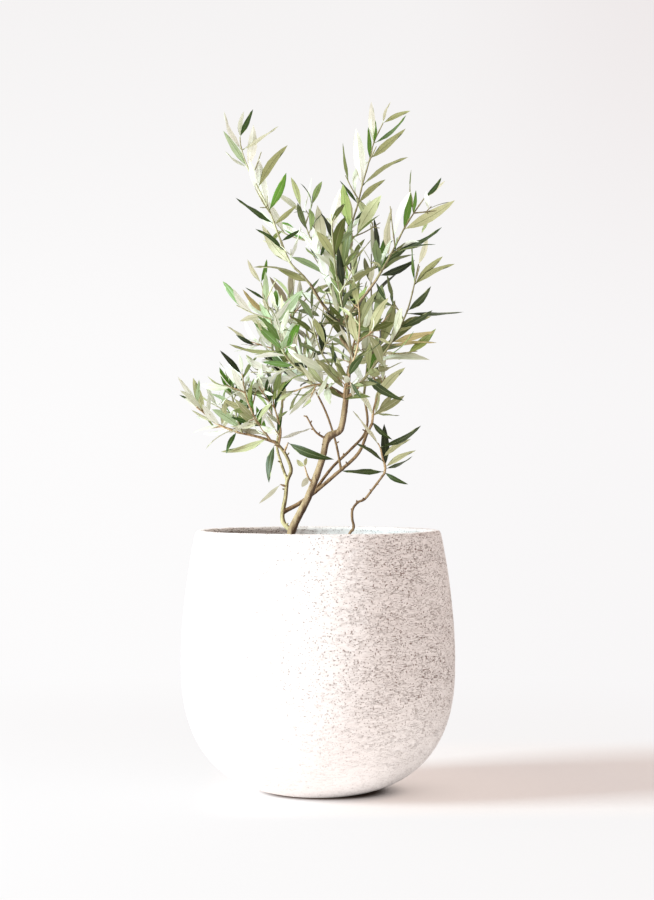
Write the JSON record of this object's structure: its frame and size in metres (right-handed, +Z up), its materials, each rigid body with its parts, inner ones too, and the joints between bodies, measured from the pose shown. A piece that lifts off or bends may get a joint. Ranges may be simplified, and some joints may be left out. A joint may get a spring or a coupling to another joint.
{
  "type": "potted olive tree",
  "caption": "Young olive tree with several slender limbs and an open, leafy crown, standing in a round, rough white cement pot.",
  "frame": {"origin": "middle of the pot's flat underside, on the surface it stands on", "axes": "+Z up, +X to the right seen from the front, +Y to the back"},
  "size_m": [0.3537, 0.342, 0.8662],
  "materials": {
    "cement": "matte",
    "soil": "matte",
    "bark": "matte",
    "foliage": "satin"
  },
  "bodies": {
    "root": {"pot": "cement", "soil": "soil", "trunk": "bark", "left_stem": "bark", "left_rear_bough": "bark", "left_outer_bough": "bark", "cross_bough": "bark", "rear_cross_bough": "bark", "inner_bough": "bark", "knot_twig": "bark", "left_crown_bough": "bark", "right_crown_bough": "bark", "leader": "bark", "left_leader": "bark", "right_leader": "bark", "sucker": "bark", "tall_left_shoot": "foliage", "tall_right_shoot": "foliage", "upper_right_shoot": "foliage", "second_left_shoot": "foliage", "upper_middle_shoot": "foliage", "right_shoot": "foliage", "right_rear_shoot": "foliage", "cross_shoot": "foliage", "inner_shoot": "foliage", "mid_left_shoot": "foliage", "left_middle_shoot": "foliage", "left_inner_shoot": "foliage", "left_lower_shoot": "foliage", "left_outer_shoot": "foliage", "left_rising_shoot": "foliage", "left_rear_shoot": "foliage", "centre_left_shoot": "foliage", "fork_shoot": "foliage", "front_shoot": "foliage", "rear_shoot": "foliage", "sucker_shoot": "foliage", "trunk_sprout": "foliage", "crossing_leaf": "foliage", "hanging_leaf": "foliage", "low_leaf": "foliage"}
  },
  "joints": []
}
